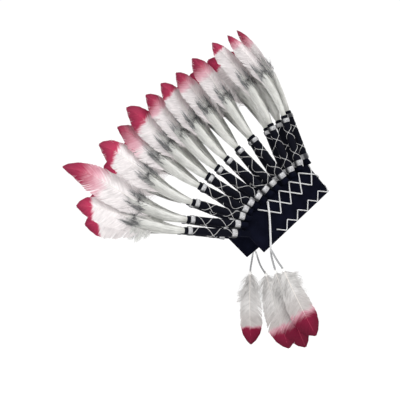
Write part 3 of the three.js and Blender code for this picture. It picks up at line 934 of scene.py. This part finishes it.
def build_sleeve(label, pose, materials, rng):
    """A wrapped black tube with its stub, two silver rings, a cap and two crossing threads."""
    half = LOWER_RING / 2
    top = SLEEVE_SPAN + UPPER_RING / 2
    ring_low = top - UPPER_RING
    surfaces = Surfaces()
    phase = rng.random() * 6

    def folds(far, angle):
        return 0.16 * np.sin(angle * 3 + phase + far / 9) + 0.1 * np.sin(far * 1.3 + angle)

    def flutes(far, angle):
        return 0.22 * np.cos(angle * RING_FLUTES)

    foot, sink = (FOOT_RADIUS, FOOT_SINK) if pose["on_edge"] else (STUB_RADIUS, 0)
    end = -pose["stub"] - sink
    stub = [(end, 0), (end, foot * 0.8), (end + 0.8, foot), (-half, STUB_RADIUS)]
    add_lathe(surfaces, pose, stub, 20, STUB)
    body = np.linspace(half - WRAP_TUCK, ring_low + WRAP_TUCK, 34)
    add_lathe(surfaces, pose, [(far, SLEEVE_RADIUS - 0.1) for far in body], 26, WRAP, folds)
    add_lathe(surfaces, pose, ring_rows(-half, half), RING_FLUTES * 4, RING, flutes)
    add_lathe(surfaces, pose, ring_rows(ring_low, top), RING_FLUTES * 4, RING, flutes)
    cap = [
        (top - 0.2, CAP_RADIUS - 1),
        (top + 0.5, CAP_RADIUS - 0.1),
        (top + CAP_LENGTH * 0.5, CAP_RADIUS),
        (top + CAP_LENGTH - 0.7, CAP_RADIUS - 0.2),
        (top + CAP_LENGTH, CAP_RADIUS - 1),
        (top + CAP_LENGTH, 0),
    ]
    add_lathe(surfaces, pose, cap, 26, WRAP, folds)
    start = rng.random() * 2 * math.pi
    for turn in (1, -1):
        add_helix(surfaces, pose, half + GAP, ring_low - GAP, turn, start, rng)
    piece = surfaces.make("sleeve_wrap_" + label, materials)
    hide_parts("sleeve_" + label)


def fluff_share(track, at):
    """A share of the bundle's length, as a share of the whole plume's."""
    return at * FLUFF_LENGTH / track.length


def fluff_point(track, at, angle, swell):
    """A point of the bundle's outline at a share of its length, an angle and a swelling."""
    wide = np.interp(at, FLUFF_AT, FLUFF_WIDE) * FLUFF_WIDTH / 2
    deep = np.interp(at, FLUFF_AT, FLUFF_DEEP) * FLUFF_DEPTH / 2
    share = fluff_share(track, at)
    return track.place(share, swell * wide * np.cos(angle), swell * deep * np.sin(angle))


def add_fluff(surfaces, track, rng):
    """A bundle of down that flares from the cap and thins out into the feather."""
    rows, columns = 24, 40
    angle = np.linspace(0, 2 * math.pi, columns, endpoint=False)[None, :]
    ribs = 0.88 + 0.05 * np.sin(angle * 9 + rng.random() * 6) + 0.04 * np.sin(angle * 16 + 1)
    teeth = 1 + 0.07 * np.sin(angle * 5 + rng.random() * 6) + 0.06 * np.sin(angle * 13)
    at = np.linspace(0, 1, rows)[:, None] * teeth
    add_grid(surfaces, fluff_point(track, at, angle, ribs), uvs=paired(angle / (2 * math.pi), at))


def add_fluff_hairs(surfaces, track, rng):
    """Single silky hairs that run along the bundle and stand off near its end."""
    size = (FLUFF_HAIRS, 1)
    t = ramp(8)
    start = rng.random(size) ** 0.8 * 0.9
    long = 0.26 + 0.28 * rng.random(size)
    at = start + long * t
    turn = rng.random(size) * 2 * math.pi
    angle = turn + rng.normal(0, 0.12, size) * t
    past = np.maximum(at - 0.85, 0)
    lift = 0.9 + 0.12 * t**1.5 + 0.08 * rng.random(size) - past * rng.random(size)
    lines = fluff_point(track, at, angle, lift)
    middle = fluff_point(track, at, angle, 0)
    normals = lines - middle + rng.normal(0, 1.6, (*size, 3))
    half = (0.4 + 0.4 * rng.random(size)) * (1 - 0.9 * t**2)
    around = turn / (2 * math.pi) + rng.normal(0, 0.04, size)
    add_ribbons(surfaces, lines, normals, half, paired(around, at))


def add_tufts(surfaces, track, rng):
    """Tufts of smoky down where the feather leaves the fluff."""
    size = (TUFT_HAIRS, 1)
    t = ramp(9)
    tuft = rng.integers(0, TUFTS, TUFT_HAIRS)[:, None]
    start = (0.84 + 0.2 * rng.random(TUFTS))[tuft] + rng.normal(0, 0.03, size)
    side = np.where(rng.random(TUFTS) < 0.5, -1, 1)[tuft]
    root = (0.45 + rng.random(TUFTS) * 0.5)[tuft] * FLUFF_WIDTH / 2
    reach = (4 + 8 * rng.random(TUFTS))[tuft] * (0.4 + 0.9 * rng.random(size))
    long = 0.04 + 0.2 * rng.random(size)
    at = start + long * np.sin(1.5 * t)
    across = side * (root + reach * t ** (1 + rng.random(size)))
    front = FLUFF_DEPTH * (0.5 + 0.2 * rng.random(size))
    depth = front * (1 - 0.5 * at) + rng.normal(0, 2.5, size) * t
    share = fluff_share(track, at)
    lines = track.place(share, across, depth)
    normals = rng.normal(0, 1, (*size, 3)) + 2 * track.look_up(track.deep, share)
    half = (0.18 + 0.22 * rng.random(size)) * (1 - 0.8 * t)
    add_ribbons(surfaces, lines, normals, half, paired(rng.random(size), at), 1)


def add_dark_ribbons(surfaces, track, at, across, depth, half):
    """Dark ribbons on the face of a bundle, at shares of its length."""
    share = fluff_share(track, at)
    lines = track.place(share, across, depth)
    add_ribbons(surfaces, lines, track.look_up(track.deep, share), half, paired(0, at), 1)


def add_dark_hairs(surfaces, track, rng):
    """Thin black hairs that curve out of the same place."""
    size = (DARK_HAIRS, 1)
    t = ramp(9)
    at = 0.8 + 0.25 * rng.random(size) + t * (0.1 + 0.25 * rng.random(size))
    side = np.where(rng.random(size) < 0.5, -1, 1)
    bend = 1 + rng.random(size)
    across = side * (2 + 26 * t**bend * (0.3 + 0.7 * rng.random(size)))
    depth = 5 + rng.normal(0, 2, size) * t
    add_dark_ribbons(surfaces, track, at, across, depth, 0.27 * (1 - 0.7 * t))


def add_stitches(surfaces, track, rng):
    """Short dark hairs along an arc, like stitches across the bundle."""
    size = (STITCHES, 1)
    t = ramp(9)
    across = (2 * rng.random(size) - 1) * FLUFF_WIDTH * 0.46
    arch = 1 + 0.05 * np.cos(across / FLUFF_WIDTH * 2 * math.pi) + rng.normal(0, 0.012, size)
    at = arch + (0.02 + 0.07 * rng.random(size)) * (t - 0.5)
    across = across + rng.normal(0, 2.5, size) * t
    depth = 4.5 + rng.normal(0, 0.8, size)
    add_dark_ribbons(surfaces, track, at, across, depth, 0.29 * (1 - 0.6 * t))


def dip_of(share, dye):
    """0 where the dye starts and 1 at the feather's tip."""
    return (share - dye) / (1 - dye)


def barb_ends(root, outline, form, rng):
    """Where the barbs' tips lie, as shares of the feather's length and as reaches."""
    run = 0.17 * (1 - root) / (1 - root + 0.1) + 0.012
    tip = np.minimum(root + run, 1.0)
    narrowing = 1 - form["point"] * np.clip((tip - 0.5) / 0.4, 0, 1) ** 1.5
    reach = np.interp(tip, VANE_AT, outline) * form["width"] / 2 * narrowing
    ragged = 0.035 * (1 - root) + 0.004
    reach = reach * (1 + wavy(rng, root, 9, 0.018) + rng.normal(0, 1, root.shape) * ragged)
    return tip, np.maximum(reach, 0.6)


def parted(share, root, t, rng):
    """Shares of the feather's length with the barbs parted at a few places."""
    for _ in range(PARTINGS):
        at = 0.05 + 0.5 * rng.random()
        size = (0.006 + 0.02 * rng.random()) * t**2
        gone = root - at
        share = share + np.sign(gone) * size * np.exp(-np.abs(gone) / 0.035)
    return share


def add_barbs(surfaces, place, form, side, phase, rng):
    """The barbs at one side of a feather's shaft, -1 before it and 1 behind it."""
    t = ramp(8)
    width = form["width"]
    root = np.linspace(0.0, 0.985, BARBS)[:, None]
    tip, reach = barb_ends(root, form["outlines"][side > 0], form, rng)
    share = parted(root + (tip - root) * t**1.2, root, t, rng)
    across = side * reach * (1 - (1 - t) ** 1.25)
    bowed = -form["cup"] * (across / (width / 2)) ** 2
    ripple = 0.4 * np.sin(share * 17 + phase) * (across / (width / 2))
    depth = bowed + ripple + rng.normal(0, 0.12, root.shape)
    lines = place(share, across, depth)
    above = place(share, across, depth + 1.0) - lines
    ahead = place(share + 0.004, across, depth) - lines
    normals = unit(above) + BARB_TILT * unit(ahead)
    uvs = paired(0.5 + across / width, dip_of(share, form["dye"]))
    shades = paired(rng.random(root.shape), t)
    add_ribbons(surfaces, lines, normals, 0.8 - 0.3 * t**3, uvs, 0, shades)


def add_vane(surfaces, place, form, rng):
    """A feather's barbs and its shaft; place turns (share, across, depth) into points."""
    phase = rng.random() * 6
    for side in (-1, 1):
        add_barbs(surfaces, place, form, side, phase, rng)
    shares = np.linspace(-0.05, 0.97, 40)
    centres = place(shares, 0, 0)
    above = unit(place(shares, 0, 1) - centres)
    radius = np.linspace(0.95, 0.2, len(shares))
    add_tube(surfaces, centres, above, radius, slot=1, along_uv=dip_of(shares, form["dye"]))


def add_down(surfaces, place, width, rng, count=70):
    """Loose soft barbs at a feather's base."""
    size = (count, 1)
    t = ramp(9)
    root = 0.28 * rng.random(size) ** 1.2
    share = root + (0.1 + 0.14 * rng.random(size)) * t
    side = np.where(rng.random(size) < 0.5, -1, 1)
    reach = width * (0.25 + 0.3 * rng.random(size))
    across = side * reach * np.sin(t * 1.5) + rng.normal(0, 0.8, size) * np.sin(6 * t)
    lines = place(share, across, rng.normal(0, 3.0, size) * t)
    normals = rng.normal(0, 1, (*size, 3))
    uvs = paired(0.5, share - 3)
    add_ribbons(surfaces, lines, normals, 0.4 * (1 - 0.8 * t), uvs, 0, paired(rng.random(size), t))


def add_skirt(surfaces, place, width, rng, skirt, along_uv):
    """Spiky down that sticks out at one side of a feather's base."""
    size = (skirt["count"], 1)
    t = ramp(7)
    tuft = rng.integers(0, SKIRT_TUFTS, skirt["count"])[:, None]
    root = np.linspace(skirt["low"], skirt["high"], SKIRT_TUFTS)[tuft] + rng.normal(0, 0.006, size)
    share = root + (0.03 + 0.04 * rng.random(size)) * t**1.3
    spread = 0.13 * rng.random(SKIRT_TUFTS)[tuft] + 0.07 * rng.random(size)
    across = skirt["side"] * width * (skirt["reach"] + spread) * t
    depth = rng.normal(0, 1.2, size) * t
    lines = place(share, across, depth)
    normals = place(share, across, depth + 1.0) - lines
    uvs = paired(rng.random(size) + 0 * t, along_uv)
    add_ribbons(surfaces, lines, normals, 0.45 * (1 - 0.85 * t), uvs, 0, uvs)


def build_plume(label, row, pose, materials, rng):
    """The fluffy bundle of one sleeve and the feather that stands out of it."""
    track = plume_track(row, pose)
    base = BLADE_BASE / track.length
    width = row["broad"] * BLADE_WIDTH

    def place(share, across, depth):
        return track.place(base + share * (1 - base), across, depth)

    fluff = Surfaces()
    for add in (add_fluff, add_fluff_hairs, add_tufts, add_dark_hairs, add_stitches):
        add(fluff, track, rng)
    if row["skirt"]:
        add_skirt(fluff, place, width, rng, row["skirt"], 0.95)
    piece = fluff.make("fluff_" + label, [materials["fluff"], materials["wisps"]])
    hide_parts("plume_" + label)
    feather = Surfaces()
    form = dict(row, outlines=PLUME_VANE, width=width, cup=BLADE_CUP)
    add_vane(feather, place, form, rng)
    add_down(feather, place, width, rng)
    looks = [materials[row["fade"] + "_vane"], materials["shaft"]]
    piece = feather.make("feather_" + label, looks)
    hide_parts("plume_" + label)


def build_fan(materials):
    """All sleeves and plumes: one of each at the front, then a pair for each row."""
    sleeve_looks = [materials[name] for name in ("sleeve", "ring", "thread", "felt")]
    for index, row in enumerate(ROWS):
        sides = {"front": 1} if index == 0 else {"right": -1, "left": 1}
        for name, side in sides.items():
            label = name if index == 0 else f"{name}_{index:02d}"
            rng = np.random.default_rng(SEED + 10 * index + side)
            own = left_row(row) if name == "left" else row
            pose = sleeve_pose(own, side)
            build_sleeve(label, pose, sleeve_looks, rng)
            build_plume(label, own, pose, materials, rng)


def build_drop_cord(drop, cord):
    """A limp two-ply cord along its route."""
    centres = smooth_line(drop["route"], 0.7)
    surfaces = Surfaces()
    normals = np.tile([1.0, 0.0, 0.0], (len(centres), 1))
    add_twist(surfaces, centres, normals, DROP_CORD_RADIUS * 1.15, 6.5)
    piece = surfaces.make("hanging_cord_" + drop["name"], [cord], in_band=False)
    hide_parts("drop_cord_" + drop["name"])
    return piece, centres


def knot_of(drop):
    """The middle of the knot at the cord's end."""
    end, before = np.array(drop["route"][-1]), np.array(drop["route"][-2])
    return end + unit(end - before) * (GAP + KNOT_RADIUS)


def build_knot(drop, glue):
    """A lump of white glue round the cord's knot."""
    rng = np.random.default_rng(SEED + 5)
    rise = np.linspace(-math.pi / 2, math.pi / 2, 12)[:, None]
    turn = np.linspace(0, 2 * math.pi, 16, endpoint=False)[None, :]
    lumps = 1 + 0.1 * np.sin(3 * turn + rng.random()) * np.cos(rise) + 0.08 * np.sin(4 * rise)
    wide = KNOT_RADIUS * lumps * np.cos(rise)
    tall = KNOT_RADIUS * lumps * np.sin(rise) * 1.15
    points = np.stack([wide * np.cos(turn), wide * np.sin(turn), tall], axis=-1)
    surfaces = Surfaces()
    add_grid(surfaces, knot_of(drop) + points)
    piece = surfaces.make("knot_" + drop["name"], [glue], in_band=False)
    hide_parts("drop_feather_" + drop["name"])
    return piece


def build_drop_feather(drop, materials, rng):
    """The small feather that hangs from the knot."""
    end = np.array(drop["route"][-1], float)
    root = knot_of(drop)
    tip = end + np.array([drop["flare"], drop["back"], -drop["down"]])
    bend = (root + tip) / 2 + np.array([drop["flare"] / 2, KNOT_RADIUS, 0])
    outward = np.array([math.copysign(1, end[0]), 0, 0])

    def width_at(along):
        wide = unit(np.cross(along, outward))
        return wide, np.tile(outward, (len(along), 1))

    place = Track(bezier([root, bend, tip], 121), width_at).place
    surfaces = Surfaces()
    width = drop["broad"] * DROP_WIDTH
    form = dict(drop, outlines=DROP_VANE, width=width, cup=DROP_CUP, point=0)
    add_vane(surfaces, place, form, rng)
    add_down(surfaces, place, width, rng, DROP_DOWN)
    if drop["skirt"]:
        add_skirt(surfaces, place, width, rng, drop["skirt"], -3)
    looks = [materials[drop["fade"] + "_drop"], materials["shaft"]]
    piece = surfaces.make("hanging_feather_" + drop["name"], looks, in_band=False)
    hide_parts("drop_feather_" + drop["name"])


def build_drops(materials):
    """The four hanging cords, each with its knot and feather."""
    for number, drop in enumerate(DROPS):
        rng = np.random.default_rng(SEED + 300 + number)
        cord, centres = build_drop_cord(drop, materials["drop_cord"])
        knot = build_knot(drop, materials["glue"])
        build_drop_feather(drop, materials, rng)


# Stage


def add_camera():
    heading, rise = math.radians(CAMERA_HEADING), math.radians(CAMERA_RISE)
    back = Vector(
        (math.cos(rise) * math.cos(heading), math.cos(rise) * math.sin(heading), math.sin(rise))
    )
    camera = bpy.data.objects.new("camera", bpy.data.cameras.new("camera"))
    camera.data.lens = CAMERA_LENS
    camera.data.clip_end = 100
    camera.location = (Vector(CAMERA_TARGET) + back * CAMERA_DISTANCE) * MM
    camera.rotation_euler = back.to_track_quat("Z", "Y").to_euler()
    bpy.context.scene.collection.objects.link(camera)
    bpy.context.scene.camera = camera


def add_light(name, kind, energy, direction, settings):
    """A lamp that shines from a direction towards the headdress."""
    data = bpy.data.lights.new(name, kind)
    data.energy = energy
    for key, value in settings.items():
        setattr(data, key, value)
    lamp = bpy.data.objects.new(name, data)
    away = Vector(direction).normalized()
    lamp.location = (away * LAMP_DISTANCE + Vector(CAMERA_TARGET)) * MM
    lamp.rotation_euler = away.to_track_quat("Z", "Y").to_euler()
    bpy.context.scene.collection.objects.link(lamp)


def add_stage():
    """A pale floor far below the headdress, white surroundings and soft lamps."""
    look = Look("floor")
    clouds = look.noise(look.place(), 2, 2)
    bpy.ops.mesh.primitive_circle_add(
        vertices=96, radius=FLOOR_RADIUS * MM, fill_type="NGON", location=(0, 0, -FLOOR_DROP * MM)
    )
    floor = bpy.context.object
    floor.name = "floor"
    floor.data.materials.append(look.dress(look.mix(clouds, *FLOOR), {"Roughness": 0.9}))
    world = bpy.data.worlds.new("studio")
    world.use_nodes = True
    background = world.node_tree.nodes["Background"]
    background.inputs["Color"].default_value = (1, 1, 1, 1)
    background.inputs["Strength"].default_value = SURROUNDINGS
    bpy.context.scene.world = world
    for lamp in LAMPS:
        add_light(*lamp)
    bpy.context.scene.view_settings.view_transform = "Standard"


add_camera()
looks = make_looks()
build_drops(looks)
build_band(looks["felt"])
build_trims(looks["cord"])
build_fan(looks)
add_stage()
